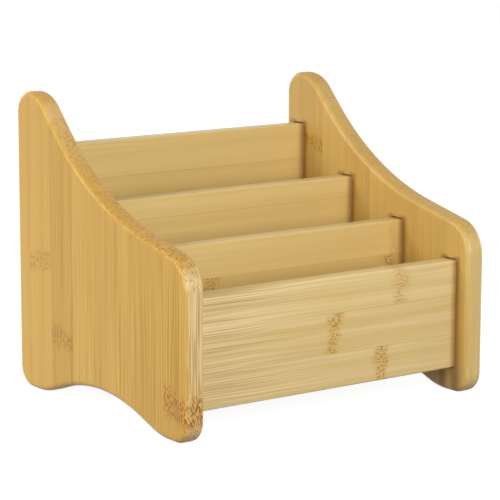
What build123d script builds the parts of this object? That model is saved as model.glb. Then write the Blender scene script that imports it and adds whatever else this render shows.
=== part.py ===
from build123d import *

import os
from math import atan2, pi, tan

# Bamboo charging station organizer: two shaped side boards, four cross boards and a floor.
# Millimetres, +Z up, front towards -Y. The origin is on the table, under the middle of the
# organizer. The cross boards are let into routed housings in the side boards and glued there.

# Overall size
width = 187.0
depth = 158.0
height = 157.0

# Side boards: thickness, rounded edges and the corners of the outline before they are rounded
side_thickness = 11.0
side_edge_round = 3.0
shoulder_height = 88.2
shoulder_round = 18.0
sweep_setback = 88.3
sweep_height = 107.8
sweep_round = 158.0
peak_width = 21.3
peak_front_round = 22.0
peak_back_round = 11.0
foot_length = 24.5
foot_corner_round = 11.0
foot_arch_round = 45.0
arch_corner_height = 18.3
arch_round = 114.0

# Cross boards: thickness, the eased long edges and where they stand between the sides
board_thickness = 9.5
board_edge_ease = 1.2
front_inset = 9.4
back_inset = 7.1
underside_height = 13.5
front_panel_drop = 17.4
middle_divider_drop = 21.6
rear_divider_drop = 53.0
back_panel_drop = 28.4

# Floor board
floor_thickness = 5.0

# Housings that hold the board ends in the side boards
housing_depth = 4.5
housing_corner_round = 1.8
glue_gap = 0.1

# Pass-through for charging leads, low in each board behind the front one
lead_slot_width = 30.0
lead_slot_height = 14.0
lead_slot_rise = 9.0
lead_slot_chamfer = 1.0

# What follows from those sizes
inner_face = width / 2 - side_thickness
front_edge = -depth / 2
back_edge = depth / 2
board_length = 2 * (inner_face + housing_depth - glue_gap)
floor_top = underside_height + floor_thickness
board_count = 4
first_board = front_edge + front_inset + board_thickness / 2
last_board = back_edge - back_inset - board_thickness / 2
board_pitch = (last_board - first_board) / (board_count - 1)
board_places = [first_board + board_pitch * i for i in range(board_count)]
board_tops = [
    shoulder_height - front_panel_drop,
    sweep_height - middle_divider_drop,
    height - rear_divider_drop,
    height - back_panel_drop,
]
board_bottoms = [underside_height, floor_top, floor_top, underside_height]
crown_gap = housing_corner_round - board_edge_ease


def corner_reach(before, corner, after, radius):
    """Length of each straight side that an arc of this radius takes up at a corner."""
    turn = atan2(after[1] - corner[1], after[0] - corner[0])
    turn -= atan2(corner[1] - before[1], corner[0] - before[0])
    turn = abs((turn + pi) % (2 * pi) - pi)
    return radius * tan(turn / 2)


def fitting_radii(points, radii):
    """The wanted radii, each one limited by the straight sides beside its corner."""
    count = len(points)
    reach = [
        corner_reach(points[i - 1], points[i], points[(i + 1) % count], radii[i])
        for i in range(count)
    ]
    room_share = 0.99
    fitted = []
    for i in range(count):
        share = 1
        for j in (i - 1, (i + 1) % count):
            side = Vector(*points[i]) - Vector(*points[j])
            share = min(share, room_share * side.length / (reach[i] + reach[j]))
        fitted.append(radii[i] * share)
    return fitted


# Outline of a side board, seen from the right: each corner with the radius that rounds it,
# from the front foot along the arch to the back foot, up the back and down the sweep
side_outline = [
    ((front_edge, 0), foot_corner_round),
    ((front_edge + foot_length, 0), foot_arch_round),
    ((0, arch_corner_height), arch_round),
    ((back_edge - foot_length, 0), foot_arch_round),
    ((back_edge, 0), foot_corner_round),
    ((back_edge, height), peak_back_round),
    ((back_edge - peak_width, height), peak_front_round),
    ((front_edge + sweep_setback, sweep_height), sweep_round),
    ((front_edge, shoulder_height), shoulder_round),
]
outline_points = [point for point, radius in side_outline]
outline_radii = fitting_radii(outline_points, [radius for point, radius in side_outline])


# The side board, with its outer edges rounded over and its inner face routed.
# A housing's end is rounded by the cutter and runs past the board by the crown gap, so the
# eased corner of the board clears it. The dividers' housings end in the floor's long one.
with BuildPart() as right_side:
    with BuildSketch(Plane.YZ.offset(inner_face)):
        with BuildLine():
            FilletPolyline(*outline_points, radius=outline_radii, close=True)
        make_face()
    extrude(amount=side_thickness)
    fillet(right_side.faces().filter_by(Axis.X).edges(), radius=side_edge_round)
    with BuildSketch(Plane.YZ.offset(inner_face)):
        for i, place in enumerate(board_places):
            housing_top = board_tops[i] + crown_gap
            housing_bottom = board_bottoms[i] - crown_gap
            if board_bottoms[i] == floor_top:
                housing_bottom = underside_height - glue_gap
            with Locations((place, (housing_top + housing_bottom) / 2)):
                RectangleRounded(
                    board_thickness + 2 * glue_gap,
                    housing_top - housing_bottom,
                    housing_corner_round,
                )
        with Locations(((first_board + last_board) / 2, underside_height + floor_thickness / 2)):
            Rectangle(last_board - first_board, floor_thickness + 2 * glue_gap)
    extrude(amount=housing_depth, mode=Mode.SUBTRACT)
right_side.part.label = "right_side"


with BuildPart() as left_side:
    mirror(right_side.part, about=Plane.YZ)
left_side.part.label = "left_side"


# The cross boards, from the front to the back. All but the front one have a round-ended slot
# for charging leads, with both of its rims chamfered.
board_names = ["front_panel", "middle_divider", "rear_divider", "back_panel"]
cross_boards = []
for i, name in enumerate(board_names):
    with BuildPart() as cross_board:
        with BuildSketch(Plane.XY.offset(board_bottoms[i])):
            with Locations((0, board_places[i])):
                Rectangle(board_length, board_thickness)
        extrude(amount=board_tops[i] - board_bottoms[i])
        eased_faces = cross_board.faces().sort_by(Axis.Z)[-1:]
        if board_bottoms[i] < floor_top:
            eased_faces += cross_board.faces().sort_by(Axis.Z)[:1]
        fillet(eased_faces.edges().filter_by(Axis.X), radius=board_edge_ease)
        if name != "front_panel":
            with BuildSketch(Plane.XZ.offset(-board_places[i])):
                with Locations((0, floor_top + lead_slot_rise + lead_slot_height / 2)):
                    SlotOverall(lead_slot_width, lead_slot_height)
            extrude(amount=board_thickness, both=True, mode=Mode.SUBTRACT)
            broad_faces = cross_board.faces().filter_by(Axis.Y)
            slot_rims = [edge for face in broad_faces for edge in face.inner_wires().edges()]
            chamfer(slot_rims, length=lead_slot_chamfer)
    cross_board.part.label = name
    cross_boards.append(cross_board.part)


# The floor lies between the front and back boards, its ends in the sides' long housings
with BuildPart() as floor_board:
    floor_depth = last_board - first_board - board_thickness - 2 * glue_gap
    with BuildSketch(Plane.XY.offset(underside_height)):
        with Locations((0, (first_board + last_board) / 2)):
            Rectangle(board_length, floor_depth)
    extrude(amount=floor_thickness)
floor_board.part.label = "floor_board"


os.makedirs("parts", exist_ok=True)
for piece in (left_side.part, right_side.part, *cross_boards, floor_board.part):
    export_step(piece, f"parts/{piece.label}.step")
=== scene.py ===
import math

import bpy
from mathutils import Matrix, Vector


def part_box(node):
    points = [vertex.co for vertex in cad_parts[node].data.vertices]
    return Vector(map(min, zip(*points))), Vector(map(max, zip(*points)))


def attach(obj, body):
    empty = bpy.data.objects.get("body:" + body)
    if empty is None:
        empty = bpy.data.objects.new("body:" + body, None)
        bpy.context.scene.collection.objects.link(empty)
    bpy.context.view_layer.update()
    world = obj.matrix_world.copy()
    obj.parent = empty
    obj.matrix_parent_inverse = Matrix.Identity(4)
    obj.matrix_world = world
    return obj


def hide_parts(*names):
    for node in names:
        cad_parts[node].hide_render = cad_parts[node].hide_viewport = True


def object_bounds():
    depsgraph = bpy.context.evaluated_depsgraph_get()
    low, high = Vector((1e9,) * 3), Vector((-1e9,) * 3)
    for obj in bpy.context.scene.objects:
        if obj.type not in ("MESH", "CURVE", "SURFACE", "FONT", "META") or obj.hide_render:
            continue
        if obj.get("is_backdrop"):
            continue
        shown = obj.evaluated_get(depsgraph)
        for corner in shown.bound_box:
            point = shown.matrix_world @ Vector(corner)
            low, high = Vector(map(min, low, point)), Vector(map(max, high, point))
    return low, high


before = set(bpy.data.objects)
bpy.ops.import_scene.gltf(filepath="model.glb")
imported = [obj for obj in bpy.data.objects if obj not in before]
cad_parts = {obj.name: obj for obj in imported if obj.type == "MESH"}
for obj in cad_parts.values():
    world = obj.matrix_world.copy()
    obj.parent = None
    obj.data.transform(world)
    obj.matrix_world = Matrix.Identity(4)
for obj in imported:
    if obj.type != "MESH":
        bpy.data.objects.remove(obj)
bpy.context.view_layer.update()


# Side boards. Each is one board of upright bamboo strips glued edge to edge, band-sawn to its
# swept outline and rounded over with a router, then sanded and lacquered. Its inner face has a
# routed housing for the end of each cross board and a long one for the floor.
MM = 0.001


def span(node, axis):
    """Where the solid of a node starts and ends along an axis, in mm to a hundredth."""
    low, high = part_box(node)
    return round(low[axis] / MM, 2), round(high[axis] / MM, 2)


side_inner_face, side_outer_face = span("right_side", 0)
front_edge, back_edge = span("right_side", 1)
side_top = span("right_side", 2)[1]
side_edge_round = 3.0
flat_band = 1.0
shoulder_height = 88.2
shoulder_round = 18.0
sweep_setback = 88.3
sweep_height = 107.8
sweep_round = 158.0
peak_width = 21.3
peak_front_round = 22.0
peak_back_round = 11.0
foot_length = 24.5
foot_corner_round = 11.0
foot_arch_round = 45.0
arch_corner_height = 18.3
arch_round = 114.0
# Corners of the outline seen from the right, from the front foot on: depth, height and radius
side_corners = (
    (front_edge, 0.0, foot_corner_round),
    (front_edge + foot_length, 0.0, foot_arch_round),
    (0.0, arch_corner_height, arch_round),
    (back_edge - foot_length, 0.0, foot_arch_round),
    (back_edge, 0.0, foot_corner_round),
    (back_edge, side_top, peak_back_round),
    (back_edge - peak_width, side_top, peak_front_round),
    (front_edge + sweep_setback, sweep_height, sweep_round),
    (front_edge, shoulder_height, shoulder_round),
)

# Housings: front and back edge, lowest and highest point, and corner radius. Each runs past its
# board by the crown gap, which clears the board's eased corners. Those of the two dividers, which
# stand on the floor, end in the floor's own long housing
housing_depth = 4.5
housing_corner_round = 1.8
glue_gap = 0.1
crown_gap = 0.6
cutter_overrun = 1.0
board_names = ("front_panel", "middle_divider", "rear_divider", "back_panel")
board_spans = [span(node, 1) + span(node, 2) for node in board_names]
floor_bottom, floor_top = span("floor_board", 2)
side_housings = []
for front, back, bottom, top in board_spans:
    low = floor_bottom - glue_gap if bottom == floor_top else bottom - crown_gap
    side_housings.append((front - glue_gap, back + glue_gap, low, top + crown_gap, housing_corner_round))
first_middle = sum(span(board_names[0], 1)) / 2
last_middle = sum(span(board_names[-1], 1)) / 2
side_housings.append((first_middle, last_middle, floor_bottom - glue_gap, floor_top + glue_gap, 0.0))


def add(tree, kind, *inputs, named=None, **settings):
    """Adds a node with its settings, sets or joins its inputs, in the order that it shows them or
    by name, and gives the outputs that it shows."""
    node = tree.nodes.new(kind)
    for name, value in settings.items():
        setattr(node, name, value)
    shown = [socket for socket in node.inputs if socket.enabled]
    pairs = list(zip(shown, inputs))
    for name, value in (named or {}).items():
        pairs.append((next(socket for socket in shown if socket.name == name), value))
    for socket, value in pairs:
        if isinstance(value, bpy.types.NodeSocket):
            tree.links.new(value, socket)
        elif value is not None:
            socket.default_value = value
    return [socket for socket in node.outputs if socket.enabled]


def new_tree(name, sizes):
    """A Geometry Nodes tree with its named sizes and material, and what goes into it."""
    tree = bpy.data.node_groups.new(name, "GeometryNodeTree")
    tree.is_modifier = True
    for socket_name, kind in (("Geometry", "Geometry"), *sizes, ("Material", "Material")):
        tree.interface.new_socket(socket_name, in_out="INPUT", socket_type="NodeSocket" + kind)
    tree.interface.new_socket("Geometry", in_out="OUTPUT", socket_type="NodeSocketGeometry")
    return tree, {socket.name: socket for socket in add(tree, "NodeGroupInput")}


def finish_tree(tree, geometry, material):
    """Shades the rounds smooth and the corners crisp, and gives the material."""
    crisp_angle = math.radians(35)
    smooth = add(tree, "GeometryNodeSetShadeSmooth", geometry)[0]
    angle = add(tree, "GeometryNodeInputMeshEdgeAngle")[0]
    corner = add(tree, "FunctionNodeCompare", angle, crisp_angle, operation="GREATER_THAN")[0]
    crisp = add(tree, "GeometryNodeSetShadeSmooth", smooth, corner, False, domain="EDGE")[0]
    real = add(tree, "GeometryNodeRealizeInstances", crisp)[0]
    add(tree, "NodeGroupOutput", add(tree, "GeometryNodeSetMaterial", real, None, material)[0])


def make_piece(name, mesh, tree, node, values):
    """Runs the tree on a mesh, keeps the result as a plain mesh and stands it for its node."""
    piece = bpy.data.objects.new(name, mesh)
    bpy.context.scene.collection.objects.link(piece)
    modifier = piece.modifiers.new("make", "NODES")
    modifier.node_group = tree
    for item in tree.interface.items_tree:
        if item.in_out == "INPUT" and item.name in values:
            modifier[item.identifier] = values[item.name]
    made = bpy.data.meshes.new_from_object(piece.evaluated_get(bpy.context.evaluated_depsgraph_get()))
    made.name = name
    piece.modifiers.remove(modifier)
    piece.data = made
    for attribute in [a.name for a in made.attributes if a.name.startswith("line_")]:
        made.attributes.remove(made.attributes[attribute])
    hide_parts(node)
    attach(piece, "root")


def side_rim(tree, given, outline):
    """The rounded rim that runs round the outline, from the flat of one face to that of the other."""
    # Section through the rim: x goes inwards and y through the board. Of its four points, the
    # middle two are at the edge of the board. The outer two lie a little way in on the flat, so
    # that the faces shade flat up to the rounding
    rim_steps = 9
    position = add(tree, "GeometryNodeInputPosition")[0]
    index = add(tree, "GeometryNodeInputIndex")[0]
    at_edge = add(tree, "ShaderNodeMath", index, 1.5, 0.6, operation="COMPARE")[0]
    on_flat = add(tree, "ShaderNodeMath", 1.0, at_edge, operation="SUBTRACT")[0]
    on_far_face = add(tree, "ShaderNodeMath", index, 1.5, operation="GREATER_THAN")[0]
    section_in = add(tree, "ShaderNodeMath", given["Face Inset"], on_flat, operation="MULTIPLY")[0]
    section_through = add(tree, "ShaderNodeMath", given["Thickness"], on_far_face, operation="MULTIPLY")[0]
    section_point = add(tree, "ShaderNodeCombineXYZ", section_in, section_through)[0]
    section = add(tree, "GeometryNodeMeshLine", 4)[0]
    section = add(tree, "GeometryNodeSetPosition", section, None, section_point)[0]
    section = add(tree, "GeometryNodeMeshToCurve", section)[0]
    section = add(tree, "GeometryNodeFilletCurve", section, mode="POLY",
                  named={"Radius": given["Edge Round"], "Count": rim_steps, "Limit Radius": True})[0]
    section = add(tree, "GeometryNodeStoreNamedAttribute", section, None, "line_section", position,
                  data_type="FLOAT_VECTOR")[0]

    # Each point of the rim is set from the place and the inward way that the outline carries. The
    # rim comes out facing inwards, so its faces are turned
    rim = add(tree, "GeometryNodeCurveToMesh", outline, section)[0]
    place = add(tree, "GeometryNodeInputNamedAttribute", "line_place", data_type="FLOAT_VECTOR")[0]
    inward = add(tree, "GeometryNodeInputNamedAttribute", "line_inward", data_type="FLOAT_VECTOR")[0]
    in_section = add(tree, "GeometryNodeInputNamedAttribute", "line_section", data_type="FLOAT_VECTOR")[0]
    rim_in, rim_through = add(tree, "ShaderNodeSeparateXYZ", in_section)[:2]
    moved_in = add(tree, "ShaderNodeVectorMath", inward, rim_in, operation="SCALE")[0]
    moved_through = add(tree, "ShaderNodeCombineXYZ", 0.0, 0.0, rim_through)[0]
    rim_point = add(tree, "ShaderNodeVectorMath", place, moved_in, operation="ADD")[0]
    rim_point = add(tree, "ShaderNodeVectorMath", rim_point, moved_through, operation="ADD")[0]
    rim = add(tree, "GeometryNodeSetPosition", rim, None, rim_point)[0]
    return add(tree, "GeometryNodeFlipFaces", rim)[0]


def side_faces(tree, given, outline):
    """The inner and the outer face, filled up to where the rim starts."""
    inward = add(tree, "GeometryNodeInputNamedAttribute", "line_inward", data_type="FLOAT_VECTOR")[0]
    to_face = add(tree, "ShaderNodeVectorMath", inward, given["Face Inset"], operation="SCALE")[0]
    face_line = add(tree, "GeometryNodeSetPosition", outline, named={"Offset": to_face})[0]
    outer_face = add(tree, "GeometryNodeFillCurve", face_line, mode="NGONS")[0]
    inner_face = add(tree, "GeometryNodeFlipFaces", outer_face)[0]
    through = add(tree, "ShaderNodeCombineXYZ", 0.0, 0.0, given["Thickness"])[0]
    outer_face = add(tree, "GeometryNodeTransform", outer_face, named={"Translation": through})[0]
    return inner_face, outer_face


def housing_cutter(tree, given, housing_lines):
    """What the router bit takes out: it starts above the inner face and plunges to its depth."""
    housing_steps = 8
    corner_round = add(tree, "GeometryNodeInputNamedAttribute", "line_round", data_type="FLOAT")[0]
    position = add(tree, "GeometryNodeInputPosition")[0]
    housing = add(tree, "GeometryNodeMeshToCurve", housing_lines)[0]
    housing = add(tree, "GeometryNodeFilletCurve", housing, mode="POLY",
                  named={"Radius": corner_round, "Count": housing_steps, "Limit Radius": True})[0]
    housing = add(tree, "GeometryNodeStoreNamedAttribute", housing, None, "line_place", position,
                  data_type="FLOAT_VECTOR")[0]
    bottom = add(tree, "ShaderNodeCombineXYZ", 0.0, 0.0, given["Housing Depth"])[0]
    plunge = add(tree, "GeometryNodeCurvePrimitiveLine", (0, 0, -cutter_overrun * MM), bottom)[0]
    plunge = add(tree, "GeometryNodeStoreNamedAttribute", plunge, None, "line_section", position,
                 data_type="FLOAT_VECTOR")[0]
    cutter = add(tree, "GeometryNodeCurveToMesh", plunge, housing, named={"Fill Caps": True})[0]
    place = add(tree, "GeometryNodeInputNamedAttribute", "line_place", data_type="FLOAT_VECTOR")[0]
    in_section = add(tree, "GeometryNodeInputNamedAttribute", "line_section", data_type="FLOAT_VECTOR")[0]
    cutter_point = add(tree, "ShaderNodeVectorMath", place, in_section, operation="ADD")[0]
    return add(tree, "GeometryNodeSetPosition", cutter, None, cutter_point)[0]


# The tree works on the board's drawing, laid flat. It rounds the outline's corners, makes the rim
# and the faces, cuts the housings and stands the board up on its own side of the organizer
outline_step = 1.5
corner_steps = 20
merge_distance = 0.01
side_tree, given = new_tree("side_board", (
    ("Thickness", "Float"), ("Edge Round", "Float"), ("Face Inset", "Float"), ("Inner Face", "Float"),
    ("Housing Depth", "Float"), ("Left Hand", "Bool"),
))
is_housing = add(side_tree, "GeometryNodeInputNamedAttribute", "line_housing", data_type="BOOLEAN")[0]
corner_round = add(side_tree, "GeometryNodeInputNamedAttribute", "line_round", data_type="FLOAT")[0]
housing_lines, outline_line = add(side_tree, "GeometryNodeSeparateGeometry", given["Geometry"], is_housing)
outline = add(side_tree, "GeometryNodeMeshToCurve", outline_line)[0]
outline = add(side_tree, "GeometryNodeFilletCurve", outline, mode="POLY",
              named={"Radius": corner_round, "Count": corner_steps, "Limit Radius": True})[0]
outline = add(side_tree, "GeometryNodeResampleCurve", outline, named={"Length": outline_step * MM},
              mode="LENGTH")[0]
tangent = add(side_tree, "GeometryNodeInputTangent")[0]
inward = add(side_tree, "ShaderNodeVectorMath", (0, 0, 1), tangent, operation="CROSS_PRODUCT")[0]
outline = add(side_tree, "GeometryNodeStoreNamedAttribute", outline, None, "line_inward", inward,
              data_type="FLOAT_VECTOR")[0]
position = add(side_tree, "GeometryNodeInputPosition")[0]
outline = add(side_tree, "GeometryNodeStoreNamedAttribute", outline, None, "line_place", position,
              data_type="FLOAT_VECTOR")[0]
joined = side_tree.nodes.new("GeometryNodeJoinGeometry")
for part in (side_rim(side_tree, given, outline), *side_faces(side_tree, given, outline)):
    side_tree.links.new(part, joined.inputs[0])
board = add(side_tree, "GeometryNodeMergeByDistance", joined.outputs[0],
            named={"Distance": merge_distance * MM})[0]
cutter = housing_cutter(side_tree, given, housing_lines)
board = add(side_tree, "GeometryNodeMeshBoolean", board, cutter, named={"Self Intersection": True},
            operation="DIFFERENCE", solver="EXACT")[0]
to_inner_face = add(side_tree, "ShaderNodeCombineXYZ", given["Inner Face"])[0]
upright = (math.radians(90), 0, math.radians(90))
right_hand = add(side_tree, "GeometryNodeTransform", board,
                 named={"Translation": to_inner_face, "Rotation": upright})[0]
mirrored = add(side_tree, "GeometryNodeTransform", right_hand, named={"Scale": (-1, 1, 1)})[0]
left_hand = add(side_tree, "GeometryNodeFlipFaces", mirrored)[0]
board = add(side_tree, "GeometryNodeSwitch", given["Left Hand"], right_hand, left_hand,
            input_type="GEOMETRY")[0]
finish_tree(side_tree, board, given["Material"])


def side_drawing(name):
    """The outline and the housings, laid flat, as loops of edges whose corners carry a radius."""
    loops = [(side_corners, False)]
    for front, back, low, high, radius in side_housings:
        housing = (front, low, radius), (back, low, radius), (back, high, radius), (front, high, radius)
        loops.append((housing, True))
    corners = [corner for loop, routed in loops for corner in loop]
    edges = []
    for loop, routed in loops:
        first = len(edges)
        edges += [(first + i, first + (i + 1) % len(loop)) for i in range(len(loop))]
    drawing = bpy.data.meshes.new(name)
    drawing.from_pydata([(across * MM, up * MM, 0) for across, up, radius in corners], edges, [])
    round_layer = drawing.attributes.new("line_round", "FLOAT", "POINT")
    round_layer.data.foreach_set("value", [radius * MM for across, up, radius in corners])
    housing_layer = drawing.attributes.new("line_housing", "BOOLEAN", "POINT")
    housing_layer.data.foreach_set("value", [routed for loop, routed in loops for corner in loop])
    return drawing


def linear(hex_colour):
    """An sRGB hex colour as linear RGBA."""
    channels = [int(hex_colour[i:i + 2], 16) / 255 for i in (1, 3, 5)]
    return [c / 12.92 if c <= 0.04045 else ((c + 0.055) / 1.055) ** 2.4 for c in channels] + [1]


def glued_strips(tree, side, first_edge, strip_width, strips, seed):
    """For each point of the board: the number of its strip, how far across the strip it lies, how
    dark and how lined the strip is, and a chance number for the strip."""
    from_first = add(tree, "ShaderNodeMath", side, first_edge, operation="SUBTRACT")[0]
    counted = add(tree, "ShaderNodeMath", from_first, strip_width, operation="DIVIDE")[0]
    number = add(tree, "ShaderNodeMath", counted, operation="FLOOR")[0]
    within = add(tree, "ShaderNodeMath", counted, operation="FRACT")[0]
    share = add(tree, "ShaderNodeMath", number, 0.5, operation="ADD")[0]
    share = add(tree, "ShaderNodeMath", share, len(strips), operation="DIVIDE")[0]
    strip_colour = add(tree, "ShaderNodeValToRGB", share)[0]
    ramp = strip_colour.node.color_ramp
    ramp.interpolation = "CONSTANT"
    while len(ramp.elements) < len(strips):
        ramp.elements.new(1.0)
    for i, (darkness, lines) in enumerate(strips):
        ramp.elements[i].position = i / len(strips)
        ramp.elements[i].color = (darkness, lines, 0.0, 1.0)
    dark, lined = add(tree, "ShaderNodeSeparateColor", strip_colour)[:2]
    seeded = add(tree, "ShaderNodeMath", number, seed, operation="ADD")[0]
    chance = add(tree, "ShaderNodeTexWhiteNoise", seeded, noise_dimensions="1D")[0]
    return number, within, dark, lined, chance


def knuckle_bands(tree, stem_place, along, number, within, knuckles):
    """How near each point is to a knuckle, for its patch, and to the narrower band of its dashes.
    Both are slanted and wavy."""
    waves_per_mm = 0.13
    wave_height = 12.0
    patch_reach = 1.5
    dashes_full = 0.3
    wave = add(tree, "ShaderNodeTexNoise", stem_place, waves_per_mm, 2.0)[0]
    waved = add(tree, "ShaderNodeMath", wave, 0.5, operation="SUBTRACT")[0]
    from_middle = add(tree, "ShaderNodeMath", within, 0.5, operation="SUBTRACT")[0]
    patch, dashed = 0.0, 0.0
    for strip_number, height, slant, reach, strength in knuckles:
        here = add(tree, "ShaderNodeMath", number, float(strip_number), 0.5, operation="COMPARE")[0]
        away = add(tree, "ShaderNodeMath", along, height, operation="SUBTRACT")[0]
        away = add(tree, "ShaderNodeMath", from_middle, slant, away, operation="MULTIPLY_ADD")[0]
        away = add(tree, "ShaderNodeMath", waved, wave_height, away, operation="MULTIPLY_ADD")[0]
        away = add(tree, "ShaderNodeMath", away, operation="ABSOLUTE")[0]
        near = add(tree, "ShaderNodeMapRange", away, 0.0, reach * patch_reach, strength, 0.0,
                   interpolation_type="SMOOTHSTEP")[0]
        near = add(tree, "ShaderNodeMath", near, here, operation="MULTIPLY")[0]
        patch = add(tree, "ShaderNodeMath", patch, near, operation="MAXIMUM")[0]
        inside = add(tree, "ShaderNodeMapRange", away, reach * dashes_full, reach, strength, 0.0,
                     interpolation_type="SMOOTHSTEP")[0]
        inside = add(tree, "ShaderNodeMath", inside, here, operation="MULTIPLY")[0]
        dashed = add(tree, "ShaderNodeMath", dashed, inside, operation="MAXIMUM")[0]
    return patch, dashed


def wandering_fibres(tree, stem_place, side, deep, stem, patch):
    """Places that follow the fibres. They wander by about a millimetre, and swirl at a knuckle."""
    wander_across = 16.0
    wander_along = 45.0
    wander_reach = 2.0
    swirl_across = 3.0
    swirl_along = 4.0
    swirl_reach = 3.0
    wander_scale = (1 / wander_across, 0, 1 / wander_along)
    wander_place = add(tree, "ShaderNodeVectorMath", stem_place, wander_scale, operation="MULTIPLY")[0]
    wander = add(tree, "ShaderNodeTexNoise", wander_place, 1.0, 1.0)[0]
    swirl_scale = (1 / swirl_across, 1 / swirl_across, 1 / swirl_along)
    swirl_place = add(tree, "ShaderNodeVectorMath", stem_place, swirl_scale, operation="MULTIPLY")[0]
    swirl = add(tree, "ShaderNodeTexNoise", swirl_place, 1.0, 1.0)[0]
    swirl = add(tree, "ShaderNodeMath", swirl, 0.5, operation="SUBTRACT")[0]
    swirl = add(tree, "ShaderNodeMath", swirl, patch, operation="MULTIPLY")[0]
    bent = add(tree, "ShaderNodeMath", wander, wander_reach, side, operation="MULTIPLY_ADD")[0]
    bent = add(tree, "ShaderNodeMath", swirl, swirl_reach, bent, operation="MULTIPLY_ADD")[0]
    return add(tree, "ShaderNodeCombineXYZ", bent, deep, stem)[0]


def painted_corner_shade(tree, axes, corners):
    """How much shade is painted into the corners near the boards that this one meets, below their
    tops and no further out than the inner faces of the side boards."""
    corner_shade_width = 5.0
    corner_shade_strength = 0.6
    top_fade = 2.0
    past_inner_face = 1.0
    # Painted shade, strongest right at each corner and fading out over corner_shade_width
    corner_shade = 0.0
    for axis, middle, half, top in corners:
        off = add(tree, "ShaderNodeMath", axes[axis], middle, operation="SUBTRACT")[0]
        off = add(tree, "ShaderNodeMath", off, operation="ABSOLUTE")[0]
        off = add(tree, "ShaderNodeMath", off, half, operation="SUBTRACT")[0]
        off = add(tree, "ShaderNodeMath", off, operation="ABSOLUTE")[0]
        near = add(tree, "ShaderNodeMapRange", off, 0.0, corner_shade_width, corner_shade_strength, 0.0,
                   interpolation_type="SMOOTHERSTEP")[0]
        below = add(tree, "ShaderNodeMapRange", axes["Z"], top, top + top_fade, 1.0, 0.0)[0]
        near = add(tree, "ShaderNodeMath", near, below, operation="MULTIPLY")[0]
        corner_shade = add(tree, "ShaderNodeMath", corner_shade, near, operation="MAXIMUM")[0]
    from_middle = add(tree, "ShaderNodeMath", axes["X"], operation="ABSOLUTE")[0]
    inside = add(tree, "ShaderNodeMath", from_middle, side_inner_face + past_inner_face,
                 operation="LESS_THAN")[0]
    return add(tree, "ShaderNodeMath", corner_shade, inside, operation="MULTIPLY")[0]


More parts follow.
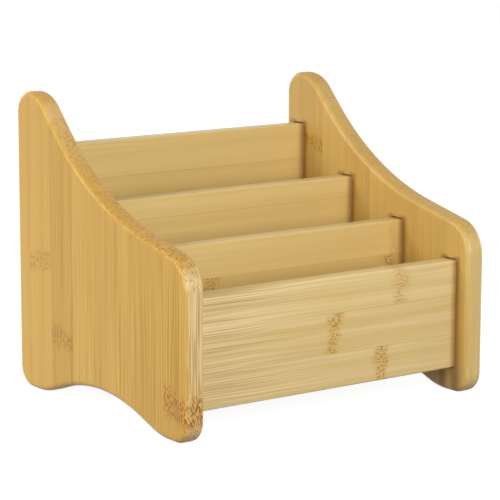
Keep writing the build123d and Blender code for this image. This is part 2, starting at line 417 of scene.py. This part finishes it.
def laminated_bamboo(name, grain, across, first_edge, strips, knuckles, dense, sparse, corners, seed, tones):
    """Flat-pressed bamboo strips, sanded fine and lacquered satin. The eye gets even honey strips
    of slightly different tones, long thin fibres that turn to dots where they are cut across,
    narrow faces paler, partly from their edge grain and partly from a painted sheen, and knuckles:
    a warm patch full of short dashes over one strip's width.

    grain and across are axes. first_edge is where the first strip starts, in mm. strips holds how
    dark and how lined each strip is, and knuckles the strip, place, slant, reach and strength of
    each one. The fibres are dense at one place along the grain and sparse at another, in mm.
    corners holds what this board meets, for the shade painted into its corners: the axis, the
    middle between two faces, half the way from one to the other, and their top. tones are pale,
    honey, toffee, amber, brown and cream.
    """
    material = bpy.data.materials.new(name)
    material.use_nodes = True
    tree = material.node_tree
    shader = tree.nodes["Principled BSDF"]
    pale, honey, toffee, amber, brown, cream = (linear(tone) for tone in tones)
    coordinates = {socket.name: socket for socket in add(tree, "ShaderNodeTexCoord")}
    millimetres = add(tree, "ShaderNodeVectorMath", coordinates["Object"], 1 / MM, operation="SCALE")[0]
    axes = dict(zip("XYZ", add(tree, "ShaderNodeSeparateXYZ", millimetres)))
    along, side = axes[grain], axes[across]
    deep = next(axes[axis] for axis in "XYZ" if axis not in (grain, across))

    # Each strip has its own tone and comes from another stretch of stem
    strip_width = 21.0
    stem_stretch = 900.0
    number, within, dark, lined, chance = glued_strips(tree, side, first_edge, strip_width, strips, seed)
    stem = add(tree, "ShaderNodeMath", chance, stem_stretch, along, operation="MULTIPLY_ADD")[0]
    stem_place = add(tree, "ShaderNodeCombineXYZ", side, deep, stem)[0]
    patch, dashed = knuckle_bands(tree, stem_place, along, number, within, knuckles)
    fibre_place = wandering_fibres(tree, stem_place, side, deep, stem, patch)

    # Fibre patterns from coarse to fine, each by its spacing across and its length in mm: bands
    # of tone, warmer bands, streaks, lines and hairs. Hairs are really 0.2 mm apart, too fine to
    # show, so they are drawn at 0.5 mm. Each pattern is shifted so that none repeats another
    patterns = {}
    for pattern, spacing, length, shift in (
        ("band", 5.0, 300.0, 3.0),
        ("warm", 3.0, 220.0, 17.0),
        ("streak", 1.2, 180.0, 11.0),
        ("line", 1.0, 130.0, 27.0),
        ("hair", 0.5, 80.0, 35.0),
    ):
        scaled = add(tree, "ShaderNodeVectorMath", fibre_place, (1 / spacing, 1 / spacing, 1 / length),
                     (shift, shift, shift), operation="MULTIPLY_ADD")[0]
        patterns[pattern] = add(tree, "ShaderNodeTexNoise", scaled, 1.0, 0.0)[0]

    # Fibre bundles: faint lines along the grain, dark dots on the end grain
    bundle_spacing = 1.7
    bundle_length = 60.0
    bundle_scale = (1 / bundle_spacing, 1 / bundle_spacing, 1 / bundle_length)
    bundle_place = add(tree, "ShaderNodeVectorMath", fibre_place, bundle_scale, operation="MULTIPLY")[0]
    bundle = add(tree, "ShaderNodeTexVoronoi", bundle_place, 1.0, named={"Randomness": 0.9})[0]
    core = add(tree, "ShaderNodeMapRange", bundle, 0.22, 0.5, 1.0, 0.0, interpolation_type="SMOOTHSTEP")[0]

    # End grain faces along the grain, and a strip's narrow face across it
    geometry = {socket.name: socket for socket in add(tree, "ShaderNodeNewGeometry")}
    facing = dict(zip("XYZ", add(tree, "ShaderNodeSeparateXYZ", geometry["Normal"])))
    end = add(tree, "ShaderNodeMath", facing[grain], operation="ABSOLUTE")[0]
    end = add(tree, "ShaderNodeMapRange", end, 0.3, 0.8, 0.0, 1.0, interpolation_type="SMOOTHSTEP")[0]
    narrow = add(tree, "ShaderNodeMath", facing[across], operation="ABSOLUTE")[0]
    narrow = add(tree, "ShaderNodeMapRange", narrow, 0.4, 0.95, 0.0, 1.0, interpolation_type="SMOOTHSTEP")[0]

    # Body of the wood: pale and honey in bands, evenly honey where the fibres are sparse, toffee
    # in the darker strips, less so on end grain, and cream on the narrow faces, partly for their
    # paler edge grain and partly as a painted sheen
    least_honey = 0.1
    most_honey = 0.42
    sparse_fading = 0.75
    sparse_honey = 0.6
    end_evening = 0.7
    cream_and_sheen_strength = 0.8
    plain = add(tree, "ShaderNodeMapRange", along, dense, sparse, 0.0, sparse_fading,
                interpolation_type="SMOOTHSTEP")[0]
    band = add(tree, "ShaderNodeMapRange", patterns["band"], 0.3, 0.7, least_honey, most_honey)[0]
    band = add(tree, "ShaderNodeMath", plain, sparse_honey, band, operation="MULTIPLY_ADD")[0]
    body = add(tree, "ShaderNodeMix", band, pale, honey, data_type="RGBA")[0]
    strip_share = add(tree, "ShaderNodeMath", end, -end_evening, 1.0, operation="MULTIPLY_ADD")[0]
    strip_share = add(tree, "ShaderNodeMath", strip_share, dark, operation="MULTIPLY")[0]
    body = add(tree, "ShaderNodeMix", strip_share, body, toffee, data_type="RGBA")[0]
    # Cream on the narrow faces: partly their paler edge grain, partly a painted sheen
    cream_and_sheen_share = add(tree, "ShaderNodeMath", narrow, cream_and_sheen_strength, operation="MULTIPLY")[0]
    body = add(tree, "ShaderNodeMix", cream_and_sheen_share, body, cream, data_type="RGBA")[0]

    # Fibres over it: where each pattern starts and is full, its strength, how much of it shows on
    # a strip without lines, and its colour
    fading = add(tree, "ShaderNodeMath", 1.0, plain, operation="SUBTRACT")[0]
    fibrous = add(tree, "ShaderNodeMath", lined, fading, operation="MULTIPLY")[0]
    for pattern, low, high, strength, evenly, colour in (
        ("warm", 0.5, 0.75, 0.15, 0.5, amber),
        ("streak", 0.45, 0.8, 0.06, 0.1, toffee),
        ("line", 0.42, 0.75, 0.28, 0.05, toffee),
        ("hair", 0.38, 0.7, 0.78, 0.03, toffee),
    ):
        shown = add(tree, "ShaderNodeMapRange", patterns[pattern], low, high, 0.0, strength,
                    interpolation_type="SMOOTHSTEP")[0]
        lining = add(tree, "ShaderNodeMath", fibrous, 1.0 - evenly, evenly, operation="MULTIPLY_ADD")[0]
        shown = add(tree, "ShaderNodeMath", shown, lining, operation="MULTIPLY")[0]
        body = add(tree, "ShaderNodeMix", shown, body, colour, data_type="RGBA")[0]

    # Bundles in brown, strong on end grain and in lined strips, and the end grain a little darker
    bundles_along = 0.08
    bundles_on_end = 0.9
    bundles_evenly = 0.1
    end_darkening = 0.3
    end_show = add(tree, "ShaderNodeMath", end, bundles_on_end, bundles_along, operation="MULTIPLY_ADD")[0]
    lining = add(tree, "ShaderNodeMath", lined, 2.0, operation="POWER")[0]
    lining = add(tree, "ShaderNodeMath", lining, 1.0 - bundles_evenly, bundles_evenly,
                 operation="MULTIPLY_ADD")[0]
    bundle_share = add(tree, "ShaderNodeMath", end_show, lining, operation="MULTIPLY")[0]
    bundle_share = add(tree, "ShaderNodeMath", bundle_share, core, operation="MULTIPLY")[0]
    body = add(tree, "ShaderNodeMix", bundle_share, body, brown, data_type="RGBA")[0]
    end_share = add(tree, "ShaderNodeMath", end, end_darkening, operation="MULTIPLY")[0]
    body = add(tree, "ShaderNodeMix", end_share, body, toffee, data_type="RGBA")[0]

    # Glue joints between the strips, fading out to each side
    joint_fade = 0.252
    joint_strength = 0.3
    joint_start = 0.5 - joint_fade / strip_width
    off_middle = add(tree, "ShaderNodeMath", within, 0.5, operation="SUBTRACT")[0]
    off_middle = add(tree, "ShaderNodeMath", off_middle, operation="ABSOLUTE")[0]
    joint = add(tree, "ShaderNodeMapRange", off_middle, joint_start, 0.5, 0.0, joint_strength,
                interpolation_type="SMOOTHSTEP")[0]
    body = add(tree, "ShaderNodeMix", joint, body, brown, data_type="RGBA")[0]

    # Knuckles: an amber patch, with brown dashes in it
    dash_width = 0.8
    dash_length = 1.9
    patch_strength = 0.6
    patch_share = add(tree, "ShaderNodeMath", patch, patch_strength, operation="MULTIPLY")[0]
    body = add(tree, "ShaderNodeMix", patch_share, body, amber, data_type="RGBA")[0]
    dash_scale = (1 / dash_width, 1 / dash_width, 1 / dash_length)
    dash_place = add(tree, "ShaderNodeVectorMath", fibre_place, dash_scale, operation="MULTIPLY")[0]
    dash = add(tree, "ShaderNodeTexNoise", dash_place, 1.0, 0.0)[0]
    dash = add(tree, "ShaderNodeMapRange", dash, 0.45, 0.62, 0.0, 1.0, interpolation_type="SMOOTHSTEP")[0]
    dash = add(tree, "ShaderNodeMath", dash, dashed, operation="MULTIPLY")[0]
    body = add(tree, "ShaderNodeMix", dash, body, brown, data_type="RGBA")[0]

    # Painted shade: the wood is darkened in the corners where boards meet, where less light reaches
    corner_shade_brown = linear("#784200")
    corner_shade = painted_corner_shade(tree, axes, corners)
    body = add(tree, "ShaderNodeMix", corner_shade, body, corner_shade_brown, data_type="RGBA")[0]
    tree.links.new(body, shader.inputs["Base Color"])

    # A thin satin lacquer on wood, a little duller over open fibres and on end grain, with the
    # fibres standing slightly proud and the bundles sunk between them
    lacquer_roughness = 0.3
    open_fibre_roughness = 0.12
    end_grain_roughness = 0.08
    fibre_relief = 0.05
    relief_strength = 0.3
    bundle_sinking = 0.5
    shader.inputs["IOR"].default_value = 1.45
    shader.inputs["Specular IOR Level"].default_value = 0.35
    satin = add(tree, "ShaderNodeMath", patterns["line"], open_fibre_roughness, lacquer_roughness,
                operation="MULTIPLY_ADD")[0]
    satin = add(tree, "ShaderNodeMath", end, end_grain_roughness, satin, operation="MULTIPLY_ADD")[0]
    tree.links.new(satin, shader.inputs["Roughness"])
    relief = add(tree, "ShaderNodeMath", core, -bundle_sinking, patterns["line"],
                 operation="MULTIPLY_ADD")[0]
    bump = add(tree, "ShaderNodeBump", relief_strength, fibre_relief * MM, named={"Height": relief})[0]
    tree.links.new(bump, shader.inputs["Normal"])
    return material


# The two sides: whether it is the left one, seed, tones, strips from the front edge to the back
# edge, and knuckles
side_first_edge = -80.6
side_dense = 40.0
side_sparse = 160.0
side_meets = []
for front, back, low, high, radius in side_housings[:len(board_names)]:
    side_meets.append(("Y", (front + back) / 2, (back - front) / 2, high))
for node, left_hand, seed, tones, strips, knuckles in (
    ("left_side", True, 3.0,
     ("#e5bb60", "#d1a34b", "#a87200", "#d09434", "#885400", "#ead4a0"),
     ((0.0, 0.8), (0.06, 0.75), (0.04, 0.65), (0.1, 0.55), (0.02, 0.5), (0.22, 0.55), (0.08, 0.15),
      (0.1, 0.15)),
     ((0, 18.0, -6.0, 10.0, 0.8), (5, 33.0, -4.0, 8.0, 0.55), (6, 70.0, 3.0, 6.0, 0.35))),
    ("right_side", False, 14.0,
     ("#dfbc6e", "#cea75e", "#a27208", "#c4943c", "#7c5200", "#d8bc7c"),
     ((0.05, 0.3), (0.15, 0.3), (0.2, 0.3), (0.1, 0.2), (0.2, 0.3), (0.05, 0.2), (0.15, 0.3),
      (0.1, 0.2)),
     ((3, 30.0, 5.0, 6.0, 0.5), (6, 120.0, -3.0, 6.0, 0.5))),
):
    material = laminated_bamboo("bamboo_pressed_lacquered_" + node, "Z", "Y", side_first_edge, strips,
                                knuckles, side_dense, side_sparse, side_meets, seed, tones)
    make_piece(node + "_board", side_drawing(node + "_drawing"), side_tree, node, {
        "Thickness": (side_outer_face - side_inner_face) * MM,
        "Edge Round": side_edge_round * MM,
        "Face Inset": (side_edge_round + flat_band) * MM,
        "Inner Face": side_inner_face * MM,
        "Housing Depth": housing_depth * MM,
        "Left Hand": left_hand,
        "Material": material,
    })


# Cross boards and the floor. Each is a straight bamboo board with its grain lengthwise, its long
# edges eased by hand and its ends glued into the housings of the side boards. The three boards
# behind the front one have a round-ended slot with chamfered rims, routed through near the floor.
board_edge_ease = 1.2
slot_width = 30.0
slot_height = 14.0
slot_middle = 34.5
slot_chamfer = 1.0
ease_steps = 6
slot_end_steps = 14
slot_rim_steps = 5


def plain_board(tree, given):
    """The board's section, with its upper and lower corners eased, drawn out along its length."""
    position = add(tree, "GeometryNodeInputPosition")[0]
    board_height = add(tree, "ShaderNodeMath", given["Top"], given["Bottom"], operation="SUBTRACT")[0]
    section = add(tree, "GeometryNodeCurvePrimitiveQuadrilateral", given["Thickness"], board_height)[0]
    corner_up = add(tree, "ShaderNodeSeparateXYZ", position)[1]
    upper = add(tree, "FunctionNodeCompare", corner_up, 0.0, operation="GREATER_THAN")[0]
    ease = add(tree, "GeometryNodeSwitch", upper, given["Bottom Ease"], given["Top Ease"],
               input_type="FLOAT")[0]
    section = add(tree, "GeometryNodeFilletCurve", section, mode="POLY",
                  named={"Radius": ease, "Count": ease_steps, "Limit Radius": True})[0]
    section = add(tree, "GeometryNodeStoreNamedAttribute", section, None, "line_section", position,
                  data_type="FLOAT_VECTOR")[0]
    half_length = add(tree, "ShaderNodeMath", given["Length"], 0.5, operation="MULTIPLY")[0]
    right_end = add(tree, "ShaderNodeCombineXYZ", half_length)[0]
    left_end = add(tree, "ShaderNodeVectorMath", right_end, -1.0, operation="SCALE")[0]
    run = add(tree, "GeometryNodeCurvePrimitiveLine", left_end, right_end)[0]
    run = add(tree, "GeometryNodeStoreNamedAttribute", run, None, "line_place", position,
              data_type="FLOAT_VECTOR")[0]
    board = add(tree, "GeometryNodeCurveToMesh", run, section, named={"Fill Caps": True})[0]
    place = add(tree, "GeometryNodeInputNamedAttribute", "line_place", data_type="FLOAT_VECTOR")[0]
    in_section = add(tree, "GeometryNodeInputNamedAttribute", "line_section", data_type="FLOAT_VECTOR")[0]
    section_back, section_up = add(tree, "ShaderNodeSeparateXYZ", in_section)[:2]
    middle_height = add(tree, "ShaderNodeMath", board_height, 0.5, given["Bottom"],
                        operation="MULTIPLY_ADD")[0]
    back = add(tree, "ShaderNodeMath", section_back, given["Place"], operation="ADD")[0]
    up = add(tree, "ShaderNodeMath", section_up, middle_height, operation="ADD")[0]
    moved = add(tree, "ShaderNodeCombineXYZ", 0.0, back, up)[0]
    board_point = add(tree, "ShaderNodeVectorMath", place, moved, operation="ADD")[0]
    return add(tree, "GeometryNodeSetPosition", board, None, board_point)[0]


def slot_cutter(tree, given):
    """What the router takes out for the slot: straight through, and flared at both faces."""
    # The slot's round-ended outline carries its place and its outward way. The ends fall just
    # short of a half round, so that their corners don't meet
    end_share = 0.498
    rim_share = 1.6
    position = add(tree, "GeometryNodeInputPosition")[0]
    slot = add(tree, "GeometryNodeCurvePrimitiveQuadrilateral", given["Slot Width"],
               given["Slot Height"])[0]
    end_round = add(tree, "ShaderNodeMath", given["Slot Height"], end_share, operation="MULTIPLY")[0]
    slot = add(tree, "GeometryNodeFilletCurve", slot, mode="POLY",
               named={"Radius": end_round, "Count": slot_end_steps, "Limit Radius": True})[0]
    tangent = add(tree, "GeometryNodeInputTangent")[0]
    outward = add(tree, "ShaderNodeVectorMath", tangent, (0, 0, 1), operation="CROSS_PRODUCT")[0]
    slot = add(tree, "GeometryNodeStoreNamedAttribute", slot, None, "line_outward", outward,
               data_type="FLOAT_VECTOR")[0]
    slot = add(tree, "GeometryNodeStoreNamedAttribute", slot, None, "line_place", position,
               data_type="FLOAT_VECTOR")[0]

    # The rail runs through the board: x widens the slot and y goes to the back. Of its four
    # points, the outer two stand past the faces, as far out as the chamfer has widened by there
    index = add(tree, "GeometryNodeInputIndex")[0]
    from_middle = add(tree, "ShaderNodeMath", index, 1.5, operation="SUBTRACT")[0]
    to_back = add(tree, "ShaderNodeMath", from_middle, operation="SIGN")[0]
    at_rim = add(tree, "ShaderNodeMath", from_middle, 0.0, 1.0, operation="COMPARE")[0]
    past_face = add(tree, "ShaderNodeMath", 1.0, at_rim, operation="SUBTRACT")[0]
    flare = add(tree, "ShaderNodeMath", given["Slot Chamfer"], cutter_overrun * MM, operation="ADD")[0]
    flare = add(tree, "ShaderNodeMath", flare, past_face, operation="MULTIPLY")[0]
    half_board = add(tree, "ShaderNodeMath", given["Thickness"], 0.5, operation="MULTIPLY")[0]
    reach = add(tree, "ShaderNodeMath", half_board, given["Slot Chamfer"], operation="SUBTRACT")[0]
    reach = add(tree, "ShaderNodeMath", reach, flare, operation="ADD")[0]
    reach = add(tree, "ShaderNodeMath", reach, to_back, operation="MULTIPLY")[0]
    rail_point = add(tree, "ShaderNodeCombineXYZ", flare, reach)[0]
    rail = add(tree, "GeometryNodeMeshLine", 4)[0]
    rail = add(tree, "GeometryNodeSetPosition", rail, None, rail_point)[0]
    rail = add(tree, "GeometryNodeMeshToCurve", rail)[0]
    rim_round = add(tree, "ShaderNodeMath", given["Slot Chamfer"], rim_share, operation="MULTIPLY")[0]
    rail = add(tree, "GeometryNodeFilletCurve", rail, mode="POLY",
               named={"Radius": rim_round, "Count": slot_rim_steps, "Limit Radius": True})[0]
    rail = add(tree, "GeometryNodeStoreNamedAttribute", rail, None, "line_section", position,
               data_type="FLOAT_VECTOR")[0]

    # Each point of the cutter is set from both. The cutter comes out inside out and is turned
    cutter = add(tree, "GeometryNodeCurveToMesh", rail, slot, named={"Fill Caps": True})[0]
    cutter = add(tree, "GeometryNodeFlipFaces", cutter)[0]
    place = add(tree, "GeometryNodeInputNamedAttribute", "line_place", data_type="FLOAT_VECTOR")[0]
    outward = add(tree, "GeometryNodeInputNamedAttribute", "line_outward", data_type="FLOAT_VECTOR")[0]
    in_rail = add(tree, "GeometryNodeInputNamedAttribute", "line_section", data_type="FLOAT_VECTOR")[0]
    rail_wider, rail_back = add(tree, "ShaderNodeSeparateXYZ", in_rail)[:2]
    widened = add(tree, "ShaderNodeVectorMath", outward, rail_wider, operation="SCALE")[0]
    widened = add(tree, "ShaderNodeVectorMath", place, widened, operation="ADD")[0]
    slot_across, slot_up = add(tree, "ShaderNodeSeparateXYZ", widened)[:2]
    back = add(tree, "ShaderNodeMath", rail_back, given["Place"], operation="ADD")[0]
    up = add(tree, "ShaderNodeMath", slot_up, given["Slot Middle"], operation="ADD")[0]
    cutter_point = add(tree, "ShaderNodeCombineXYZ", slot_across, back, up)[0]
    return add(tree, "GeometryNodeSetPosition", cutter, None, cutter_point)[0]


board_tree, given = new_tree("cross_board", (
    ("Length", "Float"), ("Thickness", "Float"), ("Bottom", "Float"), ("Top", "Float"), ("Place", "Float"),
    ("Top Ease", "Float"), ("Bottom Ease", "Float"), ("Slot Width", "Float"), ("Slot Height", "Float"),
    ("Slot Middle", "Float"), ("Slot Chamfer", "Float"), ("Has Slot", "Bool"),
))
whole = plain_board(board_tree, given)
slotted = add(board_tree, "GeometryNodeMeshBoolean", whole, slot_cutter(board_tree, given),
              operation="DIFFERENCE", solver="EXACT")[0]
board = add(board_tree, "GeometryNodeSwitch", given["Has Slot"], whole, slotted, input_type="GEOMETRY")[0]
finish_tree(board_tree, board, given["Material"])

# The five boards: slot in the record, ease of the upper and lower edges, whether the slot is
# routed through, the axis across the strips and where they start, seed, tones, strips from the
# bottom up, or on the floor from front to back, and knuckles
board_dense = -70.0
board_sparse = 10.0
board_meets = [("X", 0.0, side_inner_face, side_top)]
panel_tones = ("#fae6b6", "#d8b874", "#bb964a", "#d8a448", "#946200", "#e2ca90")
board_tones = ("#e1c683", "#d3b36f", "#ae8018", "#cc9c44", "#805400", "#dfc488")
for (
    node, record_slot, top_ease, bottom_ease, has_slot, across, first_edge, seed, tones, strips, knuckles
) in (
    ("front_panel", "board_bamboo", board_edge_ease, board_edge_ease, False, "Z", 10.5, 5.0, panel_tones,
     ((0.05, 0.75), (0.1, 0.75), (0.0, 0.9)),
     ((0, 33.0, 0.0, 5.0, 0.6), (1, 2.0, -3.0, 4.5, 0.6), (2, 45.0, 0.0, 5.5, 0.4))),
    ("middle_divider", "board_bamboo", board_edge_ease, 0.0, True, "Z", 5.0, 8.0, board_tones,
     ((0.1, 0.1), (0.05, 0.1), (0.1, 0.1), (0.0, 0.1)),
     ((2, -42.0, 0.0, 5.0, 0.5), (2, 75.0, 3.0, 5.0, 0.5), (3, 76.0, 3.0, 4.0, 0.2))),
    ("rear_divider", "board_bamboo", board_edge_ease, 0.0, True, "Z", 9.0, 12.0, board_tones,
     ((0.1, 0.15), (0.05, 0.1), (0.1, 0.2), (0.05, 0.1), (0.0, 0.1)),
     ((2, 20.0, 3.0, 5.0, 0.5),)),
    ("back_panel", "board_bamboo", board_edge_ease, board_edge_ease, True, "Z", 4.0, 17.0, board_tones,
     ((0.1, 0.2), (0.05, 0.1), (0.15, 0.3), (0.05, 0.1), (0.1, 0.1), (0.0, 0.15)),
     ((3, -20.0, 3.0, 5.0, 0.5), (1, 45.0, -4.0, 6.0, 0.6))),
    ("floor_board", "floor_bamboo", 0.0, 0.0, False, "Y", -60.0, 23.0, board_tones,
     ((0.1, 0.2), (0.05, 0.1), (0.15, 0.3), (0.05, 0.2), (0.1, 0.1), (0.0, 0.2)),
     ((2, -20.0, 3.0, 5.0, 0.5), (4, 50.0, 4.0, 6.0, 0.6))),
):
    left, right = span(node, 0)
    front, back = span(node, 1)
    bottom, top = span(node, 2)
    material = laminated_bamboo("bamboo_pressed_lacquered_" + node, "X", across, first_edge, strips,
                                knuckles, board_dense, board_sparse, board_meets, seed, tones)
    make_piece(node + "_board", bpy.data.meshes.new(node + "_start"), board_tree, node, {
        "Length": (right - left) * MM,
        "Thickness": (back - front) * MM,
        "Bottom": bottom * MM,
        "Top": top * MM,
        "Place": (front + back) / 2 * MM,
        "Top Ease": top_ease * MM,
        "Bottom Ease": bottom_ease * MM,
        "Slot Width": slot_width * MM,
        "Slot Height": slot_height * MM,
        "Slot Middle": slot_middle * MM,
        "Slot Chamfer": slot_chamfer * MM,
        "Has Slot": has_slot,
        "Material": material,
    })


# Studio. A sheet of white paper under the organizer, bright enough to the camera to read as
# white and still keep the soft shadow, with white all round.
paper_reach = 4.0
paper_glow = 0.91
room_light = 0.26
paper_mesh = bpy.data.meshes.new("paper")
paper_corners = [(x * paper_reach, y * paper_reach, 0) for x, y in ((-1, -1), (1, -1), (1, 1), (-1, 1))]
paper_mesh.from_pydata(paper_corners, [], [(0, 1, 2, 3)])
paper = bpy.data.objects.new("paper", paper_mesh)
bpy.context.scene.collection.objects.link(paper)
paper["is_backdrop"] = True
material = bpy.data.materials.new("paper_white_matt")
material.use_nodes = True
paper_tree = material.node_tree
paper_tree.nodes.remove(paper_tree.nodes["Principled BSDF"])
world = bpy.data.worlds.new("studio")
bpy.context.scene.world = world
world.use_nodes = True
seen = []
for tree in (paper_tree, world.node_tree):
    rays = {socket.name: socket for socket in add(tree, "ShaderNodeLightPath")}
    reflected = add(tree, "ShaderNodeMath", rays["Is Glossy Ray"], rays["Is Transmission Ray"],
                    operation="MAXIMUM")[0]
    seen.append(add(tree, "ShaderNodeMath", rays["Is Camera Ray"], reflected, operation="MAXIMUM")[0])
paper_seen, world_seen = seen
matt = add(paper_tree, "ShaderNodeBsdfDiffuse", linear("#606060"))[0]
shade = add(paper_tree, "ShaderNodeBsdfDiffuse", linear("#a0a0a0"))[0]
glow = add(paper_tree, "ShaderNodeEmission", linear("#ffffff"), paper_glow)[0]
lit = add(paper_tree, "ShaderNodeAddShader", shade, glow)[0]
sheet = add(paper_tree, "ShaderNodeMixShader", paper_seen, matt, lit)[0]
paper_tree.links.new(sheet, paper_tree.nodes["Material Output"].inputs["Surface"])
paper_mesh.materials.append(material)
strength = add(world.node_tree, "ShaderNodeMath", world_seen, 1.0 - room_light, room_light,
               operation="MULTIPLY_ADD")[0]
background = world.node_tree.nodes["Background"]
background.inputs["Color"].default_value = linear("#ffffff")
world.node_tree.links.new(strength, background.inputs["Strength"])

# Soft boxes, aimed at the middle of the organizer: place and size in metres, power in watts
lamp_aim = Vector((0.0, 0.0, 0.07))
for name, place, size, power in (
    ("key_front", (-0.10, -1.50, 0.62), 1.0, 17.9),
    ("fill_left", (-1.55, -0.25, 0.45), 0.9, 12.2),
    ("rim_back_left", (-1.19, 0.63, 0.90), 0.5, 6.5),
    ("fill_right", (1.75, -0.15, 0.35), 1.2, 13.0),
    ("fill_back", (0.05, 1.75, 0.35), 1.2, 13.0),
):
    light = bpy.data.lights.new(name, "AREA")
    light.size = size
    light.energy = power
    lamp = bpy.data.objects.new(name, light)
    bpy.context.scene.collection.objects.link(lamp)
    lamp.location = place
    lamp.rotation_euler = (lamp_aim - Vector(place)).to_track_quat("-Z", "Y").to_euler()

# Camera, where the photograph was taken from. The focal length is in the picture's pixels
picture_width = 500
focal_length = 2175.39
camera_place = Vector((-0.65424, -0.90786, 0.28004))
yaw, pitch, roll = 0.62467, 0.18188, -0.00312
lens = bpy.data.cameras.new("camera")
lens.sensor_width = 36.0
lens.lens = focal_length / picture_width * lens.sensor_width
lens.clip_start = 0.05
camera = bpy.data.objects.new("camera", lens)
bpy.context.scene.collection.objects.link(camera)
bpy.context.scene.camera = camera
forward = Vector((math.sin(yaw) * math.cos(pitch), math.cos(yaw) * math.cos(pitch), -math.sin(pitch)))
level_right = Vector((math.cos(yaw), -math.sin(yaw), 0))
level_down = forward.cross(level_right)
right = level_right * math.cos(roll) + level_down * math.sin(roll)
down = level_down * math.cos(roll) - level_right * math.sin(roll)
turn = Matrix((right, -down, -forward)).transposed().to_4x4()
camera.matrix_world = Matrix.Translation(camera_place) @ turn
bpy.context.scene.view_settings.view_transform = "Standard"

low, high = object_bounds()
